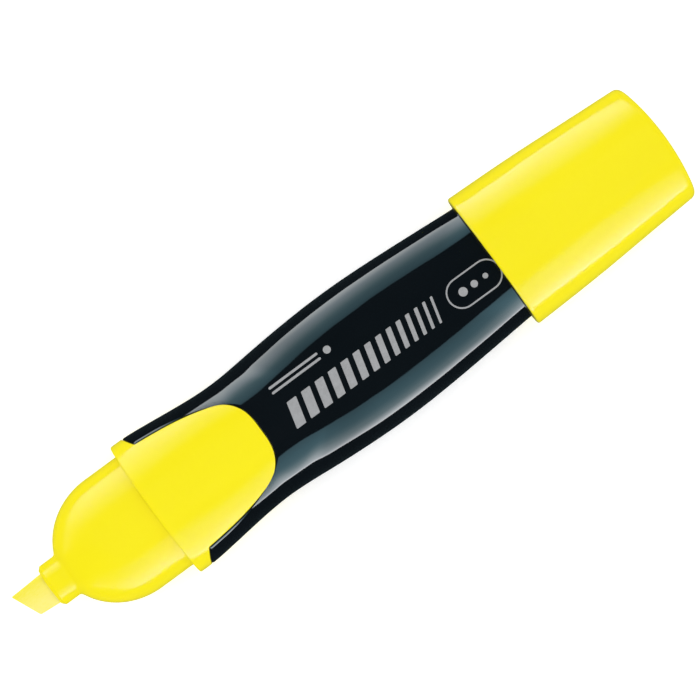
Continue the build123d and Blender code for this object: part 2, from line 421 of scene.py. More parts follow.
def spout_meets_dome():
    """For each column of the spout, the dome's angle and turn where the two meet."""
    spout = spout_ring(np.full(PLAIN_TURN.shape, DOME_FRONT))
    y, z = spout[:, 1], spout[:, 2] - AXIS_Z
    dense = np.linspace(0, 4, MEETING_TRIES)
    base_y, base_z = oval_at(slope_angle(dense, SEAT_HALF), SEAT_HALF)
    heading = np.unwrap(np.arctan2(base_y, base_z))
    wanted = np.mod(np.arctan2(y, z), 2 * math.pi)
    turn = np.interp(wanted, heading, dense)
    reach = np.interp(wanted, heading, np.hypot(base_y, base_z))
    turn = np.where(turn - PLAIN_TURN > 2, turn - 4, turn)
    return np.arcsin(np.hypot(y, z) / reach), turn


def bent(first, corner, last, count):
    """Steps round a corner, between two rings or two points."""
    return [
        first * (1 - t) ** 2 + corner * 2 * t * (1 - t) + last * t**2 for t in np.linspace(0, 1, count)
    ]


def spout_rows(root):
    """The nib's channel from back to front, then the spout's outside from front to back."""
    rows = [channel_ring(station) for station in spaced(SOCKET_BACK, SPOUT_FRONT + CHANNEL_LIP, CHANNEL_STEP)]
    rows.append(channel_ring(SPOUT_FRONT))
    rows.append(spout_ring(SPOUT_FRONT, SPOUT_CHAMFER + SPOUT_LIP))
    for share in np.linspace(0, 1, CHAMFER_ROWS):
        rows.append(spout_ring(SPOUT_FRONT + SPOUT_CHAMFER * share, SPOUT_CHAMFER * (1 - share)))
    start = SPOUT_FRONT + SPOUT_CHAMFER
    for share in np.linspace(0.1, 0.9, SPOUT_ROWS):
        rows.append(spout_ring(start + (root - start) * share))
    return rows


def dome_rows(root, meet_angle, meet_turn):
    """The flare at the spout's root, then the dome."""
    past = meet_angle + DOME_ROOT
    flared = dome_ring(past, meet_turn + (PLAIN_TURN - meet_turn) * ROOT_FOLLOW)
    rows = bent(spout_ring(root), dome_ring(meet_angle, meet_turn), flared, ROOT_ROWS)
    for share in np.linspace(0, 1, DOME_ROWS)[1:]:
        angle = past + (math.pi / 2 - past) * share
        follow = ROOT_FOLLOW + (1 - ROOT_FOLLOW) * math.sqrt(share)
        rows.append(dome_ring(angle, meet_turn + (PLAIN_TURN - meet_turn) * follow))
    return rows


def flange_rows():
    """The cap's seat, the rounding at the flange's foot, and the flange's front edge."""
    seat = spaced(SEAT_FRONT, FLANGE_FRONT - FLANGE_FOOT_RADIUS, SEAT_STEP)[1:]
    rows = [ring(station, PLAIN_TURN, SEAT_HALF) for station in seat]
    foot, edge = FLANGE_FOOT_RADIUS, FLANGE_EDGE_RADIUS
    rows += arc_rows(FLANGE_FRONT, SEAT_HALF, -foot, foot, ARC_ROWS, PLAIN_TURN)[1:]
    rows += arc_rows(FLANGE_FRONT, float(body_half(FLANGE_FRONT)), edge, -edge, ARC_ROWS, PLAIN_TURN)[::-1]
    return rows


def wall_rows(line, turn, rounding, foot_half):
    """Rows down the joint's wall, below its rounded edge."""
    half = body_half(line) - rounding[1]
    return [ring(line, turn, half + (foot_half - half) * share) for share in WALL_SHARES]


def spigot_rows():
    """The front's wall at the joint, its spigot inside the barrel, and its inside back to the dome."""
    rows = wall_rows(LINE_STATION, LINE_TURN, TONGUE_ROUNDING, SPIGOT_HALF)
    rows.append(ring(LINE_STATION, LINE_TURN, SPIGOT_HALF))
    deep = np.maximum(LINE_STATION, SPIGOT_BACK)
    rows.append(ring(deep, LINE_TURN, SPIGOT_HALF))
    rows.append(ring(deep, LINE_TURN, BORE_HALF))
    for share in np.linspace(0, 1, SPIGOT_INSIDE_ROWS)[1:]:
        station = deep + (SEAT_FRONT - deep) * share
        rows.append(ring(station, LINE_TURN + (PLAIN_TURN - LINE_TURN) * share, BORE_HALF))
    return rows


def chamber_rows():
    """The inside of the dome, down to the back of the nib's channel."""
    front = math.acos((SEAT_FRONT - CHAMBER_FRONT) / DOME_REACH)
    rows = []
    for angle in np.linspace(math.pi / 2, front, CHAMBER_ROWS)[1:]:
        rows.append(dome_ring(np.full(PLAIN_TURN.shape, angle), PLAIN_TURN, FRONT_WALL))
    rows.append(spout_ring(CHAMBER_FRONT))
    rows.append(spout_ring(SOCKET_BACK))
    return rows


def make_front():
    """Spout, dome, cap seat, flange and tongues in one yellow moulding."""
    meet_angle, meet_turn = spout_meets_dome()
    root = SEAT_FRONT - DOME_REACH * np.cos(meet_angle) - SPOUT_ROOT
    rows = spout_rows(root) + dome_rows(root, meet_angle, meet_turn) + flange_rows()
    rows += fan_rows(FLANGE_FRONT + 2 * FLANGE_EDGE_RADIUS, -1, 0.0, TONGUE_ROUNDING, FRONT_FAN_ROWS)
    rows += edge_rows(-1, 0.0, TONGUE_ROUNDING)
    rows += spigot_rows() + chamber_rows()
    piece = skin("front_shell", rows, front_yellow, PEN, closed=True)
    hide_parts("front_section")


# ---- the barrel

BARREL_EDGE_RADIUS = 0.2
BARREL_STEP = 0.6
BARREL_BACK_ROWS, BARREL_INSIDE_ROWS = 5, 10
BARREL_START = TONGUE_EDGE[-1][0] + 1.0  # the first plain ring behind the tongues


def make_barrel():
    """The black shell, notched for the tongues, with its open back end behind the cap's mouth."""
    rows = edge_rows(1, TONGUE_GAP, NOTCH_ROUNDING)[::-1]
    rows += fan_rows(BARREL_START, 1, TONGUE_GAP, NOTCH_ROUNDING, BARREL_FAN_ROWS)[::-1]
    plain = spaced(BARREL_START, BARREL_BACK - BARREL_EDGE_RADIUS, BARREL_STEP)[1:]
    rows += [ring(station, PLAIN_TURN, body_half(station)) for station in plain]
    edge = BARREL_EDGE_RADIUS
    rows += arc_rows(BARREL_BACK, body_half(BARREL_BACK), -edge, -edge, BARREL_BACK_ROWS, PLAIN_TURN)[1:]
    rows.append(ring(BARREL_BACK, PLAIN_TURN, BORE_HALF))
    line, turn = line_offset(TONGUE_GAP)
    deep = np.maximum(line, COUNTERBORE_BACK)
    for share in np.linspace(0, 1, BARREL_INSIDE_ROWS)[1:]:
        station = BARREL_BACK + (deep - BARREL_BACK) * share
        rows.append(ring(station, PLAIN_TURN + (turn - PLAIN_TURN) * share, BORE_HALF))
    rows.append(ring(deep, turn, COUNTERBORE_HALF))
    rows.append(ring(line, turn, COUNTERBORE_HALF))
    rows += wall_rows(line, turn, NOTCH_ROUNDING, COUNTERBORE_HALF)[::-1]
    piece = skin("barrel_shell", rows, black_plastic, PEN, closed=True)
    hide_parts("barrel")


# ---- the tail plug

PLUG_EDGE_RADIUS = 0.6
PLUG_SPIGOT_HALF = 8.58
PLUG_SPIGOT_FRONT = station_of(plug_low.x)
PLUG_WALL, PLUG_FLOOR = 1.2, 1.0
PLUG_CHAMFER, PLUG_LIP_CHAMFER = 0.25, 0.1
PLUG_FACE_SCALES = (0.9, 0.72, 0.5, 0.28, 0.1)
PLUG_EDGE_ROWS = 9


def make_plug():
    """The stopper in the barrel's back end."""
    lip_half = float(body_half(TAIL_BACK))
    front, half, edge = PLUG_SPIGOT_FRONT, PLUG_SPIGOT_HALF, PLUG_EDGE_RADIUS
    profile = (
        (BARREL_BACK - PLUG_FLOOR, half - PLUG_WALL), (front, half - PLUG_WALL),
        (front, half - PLUG_CHAMFER), (front + PLUG_CHAMFER, half), (BARREL_BACK, half),
        (BARREL_BACK, lip_half - PLUG_LIP_CHAMFER), (BARREL_BACK + PLUG_LIP_CHAMFER, lip_half),
    )
    rows = [ring(station, PLAIN_TURN, wide) for station, wide in profile]
    rows += arc_rows(TAIL_BACK, lip_half, -edge, -edge, PLUG_EDGE_ROWS, PLAIN_TURN)
    flat_half = lip_half - edge
    y, z = oval_at(slope_angle(PLAIN_TURN, flat_half), flat_half)
    for scale in PLUG_FACE_SCALES:
        rows.append(place(TAIL_BACK, y * scale, z * scale))
    piece = skin("tail_stopper", rows, black_plastic, PEN)
    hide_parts("tail_plug")


# ---- the cap

CAP_WALL = 1.45
CAP_END_RADIUS = 40.0
CAP_CORNER, CAP_INNER_CORNER = 1.3, 0.5
CAP_RIM, CAP_INNER_RIM = 0.4, 0.2
CAP_CORNER_ROWS, CAP_END_ROWS, CAP_SIDE_ROWS, CAP_INSIDE_ROWS = 11, 16, 56, 14
CAP_END_REACH = 0.97  # share of the end that the rows cross before its middle
CAP_HALVINGS = 60  # steps of the search for where the cap's corner starts
CAP_TURN = whole_turn(np.linspace(0, 1, CAP_COLUMNS + 1), mirrored=False)


def cap_end(inset, corner):
    """Rows from where the cap's side starts to round over, across the corner, to the middle of its end."""
    ball = CAP_END_RADIUS - inset
    centre = CAP_APEX - CAP_END_RADIUS
    low, high = (np.full(CAP_TURN.shape, end) for end in (CAP_MOUTH, CAP_APEX))
    for _ in range(CAP_HALVINGS):
        middle = (low + high) / 2
        half = cap_half(middle) - inset - corner
        y, z = oval_at(slope_angle(CAP_TURN, cap_half(middle)), half)
        inside = (middle - centre) ** 2 + y**2 + z**2 < (ball - corner) ** 2
        low, high = np.where(inside, middle, low), np.where(inside, high, middle)
    station = low
    angle = slope_angle(CAP_TURN, cap_half(station))
    y, z = oval_at(angle, cap_half(station) - inset - corner)
    taper = cap_half(station + 0.5) - cap_half(station - 0.5)  # over one millimetre
    side = unit(np.stack([-taper, np.sin(angle), np.cos(angle)], axis=-1))
    pivot = np.stack([station, y, z], axis=-1)
    end = unit(pivot - np.array([centre, 0, 0]))
    rows = []
    for share in np.linspace(0, 1, CAP_CORNER_ROWS):
        point = pivot + corner * unit(side * (1 - share) + end * share)
        rows.append(place(*point.T))
    axis = np.array([1.0, 0, 0])
    for share in np.linspace(0, CAP_END_REACH, CAP_END_ROWS)[1:]:
        point = centre * axis + ball * unit(end * (1 - share) + axis * share)
        rows.append(place(*point.T))
    first = pivot[:, 0] + corner * side[:, 0]
    return first, rows


def make_cap():
    """The cap: a tapered oval cup with a rounded mouth and a crowned end."""
    outer_start, outer_end = cap_end(0.0, CAP_CORNER)
    inner_start, inner_end = cap_end(CAP_WALL, CAP_INNER_CORNER)
    rows = inner_end[::-1]
    for share in np.linspace(0, 1, CAP_INSIDE_ROWS)[1:]:
        station = inner_start + (CAP_MOUTH + CAP_INNER_RIM - inner_start) * share
        rows.append(ring(station, CAP_TURN, cap_half(station) - CAP_WALL))
    mouth_half = float(cap_half(CAP_MOUTH))
    rows.append(ring(CAP_MOUTH, CAP_TURN, mouth_half - CAP_WALL + CAP_INNER_RIM))
    rows += arc_rows(CAP_MOUTH, mouth_half, CAP_RIM, -CAP_RIM, EDGE_ROWS, CAP_TURN)[::-1]
    start = CAP_MOUTH + CAP_RIM
    for share in np.linspace(0, 1, CAP_SIDE_ROWS)[1:-1]:
        station = start + (outer_start - start) * share
        rows.append(ring(station, CAP_TURN, cap_half(station)))
    rows += outer_end
    piece = skin("cap_cup", rows, cap_yellow, CAP)
    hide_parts("cap_shell")


# ---- the nib

NIB_LENGTH = station_of(nib_high.x)
NIB_EDGE = 0.35
NIB_SLANT = math.radians(24)
NIB_TAPER = 0.2  # how much narrower the nib is at its tip, on its +Y side
NIB_WEDGE = 4.3  # length of the wedge behind the writing edge
NIB_WEAR = 0.2  # distance behind the writing edge over which the nib is worn round
NIB_WORN_HEIGHT, NIB_WORN_WIDTH = 0.9, 0.22
NIB_SOFT = 0.03  # softness of the crease behind the wedge
NIB_FLARE_POWER = 0.8
NIB_CORNER_SHARE = 0.9  # most of its half-height that the nib's corner radius may take
NIB_FIRST_LEAN, NIB_WORN_ROWS = 0.12, 8  # where the worn edge's rows start, in radians, and their count
NIB_SEEN = 7.0  # the nib has fine rows this far back, and coarse rows in its channel
NIB_FINE, NIB_COARSE = 0.1, 1.5


def nib_row(behind):
    """A ring of the nib at a distance behind its slanted writing edge."""
    ahead = behind * math.cos(NIB_SLANT)
    wedge = NIB_EDGE + (NIB_HALF_THICKNESS - NIB_EDGE) * ahead / NIB_WEDGE
    height = (wedge + NIB_HALF_THICKNESS - math.sqrt((wedge - NIB_HALF_THICKNESS) ** 2 + NIB_SOFT)) / 2
    height = min(height, NIB_HALF_THICKNESS)
    worn = 1 - math.sqrt(max(0.0, 1 - (1 - min(ahead / NIB_WEAR, 1)) ** 2))
    height *= 1 - NIB_WORN_HEIGHT * worn
    flare = NIB_FLARE * min((behind / SPOUT_FRONT) ** NIB_FLARE_POWER, 1)
    taper = NIB_TAPER * (1 - min(behind / SPOUT_FRONT, 1))
    half_width = NIB_HALF_WIDTH + flare / 2 - taper / 2 - NIB_WORN_WIDTH * worn
    y, z = rounded_rectangle(PLAIN_TURN, half_width, height, min(NIB_CORNER, NIB_CORNER_SHARE * height))
    y = y - flare / 2 - taper / 2
    slanted = np.maximum(NIB_HALF_WIDTH - NIB_TAPER - y, 0) * math.tan(NIB_SLANT)
    straight = np.clip(behind / NIB_LENGTH, 0, 1) ** 2
    return place(np.minimum(slanted * (1 - straight) + behind, NIB_LENGTH), y, z)


def make_nib():
    """The fibre chisel nib, its long corner on the +Y side."""
    near = NIB_WEAR * (1 - np.cos(np.linspace(NIB_FIRST_LEAN, math.pi / 2, NIB_WORN_ROWS)))
    rows = [nib_row(behind) for behind in near]
    rows += [nib_row(behind) for behind in spaced(NIB_WEAR, NIB_SEEN, NIB_FINE)[1:]]
    rows += [nib_row(behind) for behind in spaced(NIB_SEEN, NIB_LENGTH, NIB_COARSE)[1:]]
    piece = skin("nib_felt", rows, nib_fibre, PEN)
    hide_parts("nib")


# ---- the print on the barrel

INK_LIFT, INK_SINK = 0.018, 0.03
PRINT_STEP = 0.35


def top_height(station, y):
    """Height of the barrel's upper face over a point, in millimetres from the axis."""
    radius = body_half(station) - SIDE + math.hypot(SIDE, FACE)
    return np.sqrt(radius**2 - np.asarray(y) ** 2) - FACE


def rounded_outline(corners, radius, steps=6):
    """A polygon's outline with rounded corners."""
    outline = []
    for i, corner in enumerate(corners):
        here = np.array(corner, float)
        ways = unit(np.array([corners[i - 1], corners[(i + 1) % len(corners)]]) - here)
        half_angle = math.acos(np.clip(ways[0] @ ways[1], -1, 1)) / 2
        start, stop = here + ways * radius / math.tan(half_angle)
        outline += [tuple(point) for point in bent(start, here, stop, steps + 1)]
    return outline


def capsule(first, last, low, high, steps=16):
    """The outline of a capsule that lies along the pen."""
    radius, middle = (high - low) / 2, (high + low) / 2
    outline = []
    for centre, start in ((last - radius, -90), (first + radius, 90)):
        for t in np.linspace(0, 180, steps + 1):
            angle = math.radians(start + t)
            outline.append((centre + radius * math.cos(angle), middle + radius * math.sin(angle)))
    return outline


def disc(station, y, radius, steps=28):
    """The outline of a round dot."""
    angles = np.linspace(0, 2 * math.pi, steps, endpoint=False)
    return [(station + radius * math.cos(a), y + radius * math.sin(a)) for a in angles]


def printed(name, outlines, holes=()):
    """Ink films lying on the barrel's upper face, from outlines in station and Y."""
    work = bmesh.new()
    for outline in list(outlines) + list(holes):
        loop = [work.verts.new((station, y, 0)) for station, y in outline]
        for i, vertex in enumerate(loop):
            work.edges.new((vertex, loop[(i + 1) % len(loop)]))
    bmesh.ops.triangle_fill(work, edges=work.edges, use_beauty=True, use_dissolve=False)
    places = np.array([vertex.co[:2] for vertex in work.verts])
    for axis, direction in enumerate((Vector((1, 0, 0)), Vector((0, 1, 0)))):
        for cut in np.arange(places[:, axis].min() + PRINT_STEP, places[:, axis].max(), PRINT_STEP):
            geometry = work.verts[:] + work.edges[:] + work.faces[:]
            bmesh.ops.bisect_plane(work, geom=geometry, plane_co=direction * cut, plane_no=direction)
    bmesh.ops.triangulate(work, faces=work.faces)
    top = work.faces[:]
    lower = bmesh.ops.extrude_face_region(work, geom=top, use_keep_orig=True)
    moved = {item for item in lower["geom"] if isinstance(item, bmesh.types.BMVert)}
    for vertex in work.verts:
        station, y = vertex.co.x, vertex.co.y
        offset = -INK_SINK if vertex in moved else INK_LIFT
        height = float(top_height(station, y)) + AXIS_Z + offset
        vertex.co = ((station + NIB_TIP_X) * MM, y * MM, height * MM)
    bmesh.ops.recalc_face_normals(work, faces=work.faces)
    mesh = bpy.data.meshes.new(name)
    work.to_mesh(mesh)
    work.free()
    piece = finish_piece(name, mesh, print_ink)
    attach(piece, PEN)


STROKES_FRONT, STROKES_BACK = 50.9, 79.4
STROKES_LOW, STROKES_HIGH = -3.25, 0.95
STROKE_LEAN = 1.1
STROKE_COUNT = 14
STROKE_WIDEST, STROKE_NARROWEST = 1.75, 0.42
STROKE_CORNER = 0.16
RULE_FRONT, RULE_BACK = 51.0, 60.2
RULE_LOWS, RULE_THICKNESS = (3.15, 4.05), 0.4
DOT_STATION, DOT_Y, DOT_RADIUS = 61.7, 3.8, 0.62
LOOP_FRONT, LOOP_BACK, LOOP_LOW, LOOP_HIGH = 80.9, 90.5, -3.85, 1.08
LOOP_LINE = 0.25
LOOP_DOTS, LOOP_DOT_FRONT, LOOP_DOT_STEP = 3, 83.6, 2.1
LOOP_DOT_RADIUS, LOOP_DOT_SHRINK = 0.72, 0.14


def make_print():
    """A scale of slanted strokes, two rules and a dot above it, and a capsule's outline round three dots."""
    widths = np.linspace(STROKE_WIDEST, STROKE_NARROWEST, STROKE_COUNT)
    gap = (STROKES_BACK - STROKES_FRONT - STROKE_LEAN - widths.sum()) / (STROKE_COUNT - 1)
    station = STROKES_FRONT
    strokes = []
    for width in widths:
        corners = [
            (station, STROKES_LOW), (station + width, STROKES_LOW),
            (station + width + STROKE_LEAN, STROKES_HIGH), (station + STROKE_LEAN, STROKES_HIGH),
        ]
        strokes.append(rounded_outline(corners, STROKE_CORNER))
        station += width + gap
    printed("print_strokes", strokes)
    rules = [capsule(RULE_FRONT, RULE_BACK, low, low + RULE_THICKNESS) for low in RULE_LOWS]
    printed("print_rules", rules + [disc(DOT_STATION, DOT_Y, DOT_RADIUS)])
    loop = capsule(LOOP_FRONT, LOOP_BACK, LOOP_LOW, LOOP_HIGH)
    hole = capsule(LOOP_FRONT + LOOP_LINE, LOOP_BACK - LOOP_LINE, LOOP_LOW + LOOP_LINE, LOOP_HIGH - LOOP_LINE)
    printed("print_capsule", [loop], holes=[hole])
    middle, dots = (LOOP_LOW + LOOP_HIGH) / 2, []
    for i in range(LOOP_DOTS):
        dots.append(disc(LOOP_DOT_FRONT + LOOP_DOT_STEP * i, middle, LOOP_DOT_RADIUS - LOOP_DOT_SHRINK * i))
    printed("print_dots", dots)


# ---- materials

def fill(socket, value):
    """Wires an input to another node's output, or sets it."""
    if isinstance(value, bpy.types.NodeSocket):
        socket.id_data.links.new(value, socket)
    elif value is not None:
        socket.default_value = value


def feed(node, **inputs):
    """Fills a node's inputs by name, with _ for a space."""
    for name, value in inputs.items():
        fill(node.inputs[name.replace("_", " ")], value)
    return node


def new_node(tree, kind, **inputs):
    """A new node with its inputs filled."""
    return feed(tree.nodes.new("ShaderNode" + kind), **inputs)


class Nodes:
    """Short calls for building a material's nodes."""

    def __init__(self, name):
        self.material = bpy.data.materials.new(name)
        self.material.use_nodes = True
        self.tree = self.material.node_tree
        self.surface = self.tree.nodes["Principled BSDF"]
        self.position = self.node("TexCoord").outputs["Object"]

    def node(self, kind, **inputs):
        return new_node(self.tree, kind, **inputs)

    def scaled(self, along, across):
        """The object's own coordinates, stretched along the pen and across it."""
        return self.node("Mapping", Vector=self.position, Scale=(along, across, across)).outputs["Vector"]

    def axis(self, name):
        """One of the object's own coordinates."""
        return self.node("SeparateXYZ", Vector=self.position).outputs[name]

    def noise(self, vector, scale=1.0, detail=3.0, roughness=0.5):
        noise = self.node("TexNoise", Vector=vector, Scale=scale, Detail=detail, Roughness=roughness)
        return noise.outputs["Fac"]

    def span(self, value, low, high, from_low=0.0, from_high=1.0):
        """A value carried from one range, by default 0 to 1, to another."""
        ends = {"From_Min": from_low, "From_Max": from_high, "To_Min": low, "To_Max": high}
        return self.node("MapRange", Value=value, **ends).outputs["Result"]

    def stretched(self, value, zero, one):
        """A value carried to 0 where it was zero and to 1 where it was one."""
        return self.span(value, 0, 1, zero, one)

    def worn(self, scratches, scale):
        """Scratches gathered in patches, from 0 to 1."""
        patches = self.noise(self.position, scale)
        return self.math("MULTIPLY", self.stretched(scratches, 0.5, 0.75), self.stretched(patches, 0.45, 0.7))

    def mix(self, factor, first, second):
        """A colour between two colours."""
        node = self.node("Mix")
        node.data_type = "RGBA"
        return feed(node, Factor=factor, A=(*first, 1), B=(*second, 1)).outputs["Result"]

    def math(self, operation, first, second):
        node = self.node("Math")
        node.operation = operation
        fill(node.inputs[0], first)
        fill(node.inputs[1], second)
        return node.outputs["Value"]

    def bump(self, height, distance, strength=1.0, before=None):
        node = self.node("Bump", Height=height, Distance=distance, Strength=strength, Normal=before)
        return node.outputs["Normal"]

    def finish(self, color, roughness, normal=None, **inputs):
        """Fills the surface's inputs."""
        feed(self.surface, Base_Color=color, Roughness=roughness, Normal=normal, **inputs)
        return self.material


def make_yellow_plastic(name, shine):
    """Glossy fluorescent yellow moulding with faint flow marks and handling scratches."""
    n = Nodes(name)
    clouds = n.noise(n.scaled(1, 2), scale=45.0, detail=4.0, roughness=0.55)
    color = n.mix(n.stretched(clouds, 0.3, 0.7), (0.918, 0.79, 0.0012), (0.938, 0.815, 0.0024))
    scratches = n.noise(n.scaled(60, 900), detail=5.0, roughness=0.7)
    roughness = n.span(n.worn(scratches, 160.0), 0.17, 0.3)
    peel = n.noise(n.position, scale=700.0, detail=2.0)
    normal = n.bump(peel, 0.000012)
    normal = n.bump(scratches, 0.0000025, before=normal)
    return n.finish(
        color, roughness, normal, IOR=1.47, Specular_IOR_Level=shine, Specular_Tint=(0.1, 0.14, 1.0, 1),
        Sheen_Weight=0.06, Sheen_Roughness=0.4, Sheen_Tint=(0.2, 0.7, 1.0, 1),
    )


def make_black_plastic():
    """Polished black moulding, with faint ripples and fine scratches along the pen."""
    n = Nodes("black_plastic")
    clouds = n.noise(n.scaled(1, 2), scale=60.0, detail=4.0, roughness=0.55)
    color = n.mix(n.stretched(clouds, 0.3, 0.7), (0.0024, 0.0041, 0.0057), (0.0036, 0.0055, 0.0074))
    scratches = n.noise(n.scaled(45, 1100), detail=5.0, roughness=0.7)
    roughness = n.span(n.worn(scratches, 140.0), 0.045, 0.14)
    ripple = n.noise(n.scaled(0.35, 1), scale=260.0, detail=2.0)
    normal = n.bump(ripple, 0.000012)
    normal = n.bump(scratches, 0.0000015, before=normal)
    return n.finish(color, roughness, normal, IOR=1.5)


def make_nib_fibre():
    """Pressed fibre soaked in yellow ink: fine strands along the nib, with painted shade that makes its +Y
    side a deeper, darker yellow and its -Y side paler.
    """
    n = Nodes("nib_fibre")
    strands = n.noise(n.scaled(220, 4200), detail=4.0, roughness=0.6)
    grain = n.noise(n.position, scale=3200.0, roughness=0.6)
    soak = n.noise(n.position, scale=500.0, roughness=0.55)
    weave = n.math("ADD", n.math("MULTIPLY", strands, 0.65), n.math("MULTIPLY", grain, 0.35))
    # Painted shade: the colour runs from a paler yellow on the nib's -Y side to a deeper, darker yellow on
    # its +Y side, added to the fibre weave below.
    across = n.stretched(n.axis("Y"), 0.0021, -0.0012)
    fine = n.math("MULTIPLY", n.stretched(weave, 0.35, 0.65), 0.3)
    weave_and_painted_shade = n.math("ADD", fine, n.math("MULTIPLY", across, 0.7))
    color = n.mix(weave_and_painted_shade, (0.885, 0.78, 0.030), (0.945, 0.845, 0.230))
    normal = n.bump(weave, 0.00002, 0.6)
    normal = n.bump(soak, 0.00003, 0.4, before=normal)
    return n.finish(color, n.span(soak, 0.75, 0.95), normal, IOR=1.4, Specular_IOR_Level=0.35)


def make_print_ink():
    """Silver-grey pad-printed ink with a fine flake."""
    n = Nodes("print_ink")
    flake = n.noise(n.position, scale=6500.0, detail=2.0, roughness=0.6)
    patchy = n.noise(n.position, scale=900.0, roughness=0.6)
    tone = n.math("ADD", n.math("MULTIPLY", flake, 0.6), n.math("MULTIPLY", patchy, 0.4))
    color = n.mix(n.stretched(tone, 0.35, 0.65), (0.285, 0.29, 0.295), (0.37, 0.375, 0.385))
    normal = n.bump(flake, 0.000004)
    return n.finish(color, n.span(patchy, 0.5, 0.65), normal, IOR=1.45, Specular_IOR_Level=0.2)


def make_liner_plastic():
    """The cap's soft inner liner, paler and duller than the cap."""
    n = Nodes("liner_plastic")
    clouds = n.noise(n.position, scale=300.0)
    color = n.mix(clouds, (0.90, 0.82, 0.10), (0.95, 0.88, 0.18))
    peel = n.noise(n.position, scale=1500.0, detail=2.0)
    return n.finish(color, n.span(clouds, 0.4, 0.55), n.bump(peel, 0.00001), IOR=1.5)


def make_ink_fibre():
    """The ink store's loose fibres, soaked yellow."""
    n = Nodes("ink_fibre")
    strands = n.noise(n.scaled(150, 2500), detail=5.0, roughness=0.65)
    color = n.mix(strands, (0.75, 0.68, 0.03), (0.97, 0.92, 0.16))
    return n.finish(color, n.span(strands, 0.8, 0.95), n.bump(strands, 0.00012), IOR=1.4)


def make_clear_film():
    """The ink store's thin film, clouded by wrinkles along the pen."""
    n = Nodes("clear_film")
    wrinkles = n.noise(n.scaled(60, 700), detail=4.0, roughness=0.6)
    color = n.mix(wrinkles, (0.80, 0.78, 0.30), (0.95, 0.94, 0.55))
    return n.finish(color, n.span(wrinkles, 0.15, 0.35), n.bump(wrinkles, 0.00005), IOR=1.5)


def dress(node, material):
    """Gives a CAD node that is still shown its material, in the object's own slots."""
    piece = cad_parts[node]
    for slot in piece.material_slots:
        slot.link = "OBJECT"
        slot.material = material


front_yellow = make_yellow_plastic("yellow_plastic_front", 0.35)
cap_yellow = make_yellow_plastic("yellow_plastic_cap", 0.43)
black_plastic = make_black_plastic()
nib_fibre = make_nib_fibre()
print_ink = make_print_ink()

make_front()
make_barrel()
make_plug()
make_cap()
make_nib()
make_print()
dress("inner_cap", make_liner_plastic())
dress("ink_reservoir", make_ink_fibre())
dress("reservoir_wrap", make_clear_film())


# ---- stage, light and camera, in metres where nothing else is said

def hide_from(thing, *rays):
    """Keeps a stage object out of some kinds of ray."""
    for ray in rays:
        setattr(thing, f"visible_{ray}", False)


FLOOR_GLOW, FLOOR_ROUGHNESS, FLOOR_HALF = 0.37, 0.9, 3.0


def make_floor():
    """A plain pale floor."""
    corners = [(x * FLOOR_HALF, y * FLOOR_HALF, 0) for x, y in ((-1, -1), (1, -1), (1, 1), (-1, 1))]
    mesh = bpy.data.meshes.new("floor")
    mesh.from_pydata(corners, [], [(0, 1, 2, 3)])
    n = Nodes("floor_paper")
    grain = n.noise(n.position, scale=900.0)
    tone = n.mix(grain, (0.93, 0.93, 0.93), (0.96, 0.96, 0.96))
    glow = n.finish(tone, FLOOR_ROUGHNESS, Emission_Color=(1, 1, 1, 1), Emission_Strength=FLOOR_GLOW)
    mesh.materials.append(glow)
    floor = add_to_scene("floor", mesh)
    hide_from(floor, "glossy")


CARD_DISTANCE = 0.05
CARD_STRENGTH = 13.0
CARD_FRONT, CARD_BACK, CARD_COLUMNS, CARD_ROWS = -0.15, 0.13, 280, 24

# By X along the cards in millimetres: how strongly they glow, and the power that bends their fading
CARD_LEVELS = (
    (-150, 0.2), (-90, 0.25), (-56, 0.9), (-46, 1), (-39.8, 1), (-39.2, 0.7), (-37.2, 0.7), (-36.2, 1),
    (-22.5, 1.1), (-18.5, 1.08), (-17, 0.95), (-12.5, 0.85), (-9, 0.82), (-5, 0.86), (0, 0.92), (12, 0.91),
    (20, 0.87), (27.5, 0.88), (33, 0.95), (37, 1.22), (41, 1.22), (47, 1.06), (56, 0.98), (67, 0.95),
    (82, 0.3), (130, 0.2),
)
CARD_BENDS = (
    (-150, 1), (-30, 1), (-21.5, 0.82), (-16.5, 0.9), (-8, 1), (0, 1.05), (10, 1.05), (20, 1), (30, 0.92),
    (36, 0.92), (45, 1), (130, 1),
)


def card_mesh(name, side, low, high):
    """A card's upright sheet, with its fading and its level at each corner as attributes."""
    low_edge, high_edge = natural_spline(low), natural_spline(high)
    vertices, faces, fades, levels = [], [], [], []
    for x in np.linspace(CARD_FRONT, CARD_BACK, CARD_COLUMNS + 1):
        level, bend = (float(np.interp(x / MM, *zip(*marks))) for marks in (CARD_LEVELS, CARD_BENDS))
        elevations = (math.radians(float(edge(x / MM))) for edge in (low_edge, high_edge))
        bottom, top = (math.tan(elevation) * CARD_DISTANCE for elevation in elevations)
        for share in np.linspace(0, 1, CARD_ROWS + 1):
            vertices.append((x, side * CARD_DISTANCE, AXIS_Z * MM + bottom + (top - bottom) * share))
            fades.append(share**bend)
            levels.append(level)
    for column in range(CARD_COLUMNS):
        for row in range(CARD_ROWS):
            a = column * (CARD_ROWS + 1) + row
            faces.append((a, a + 1, a + CARD_ROWS + 2, a + CARD_ROWS + 1))
    mesh = bpy.data.meshes.new(name)
    mesh.from_pydata(vertices, [], faces)
    for title, values in (("fade", fades), ("level", levels)):
        mesh.attributes.new(title, "FLOAT", "POINT").data.foreach_set("value", values)
    return mesh


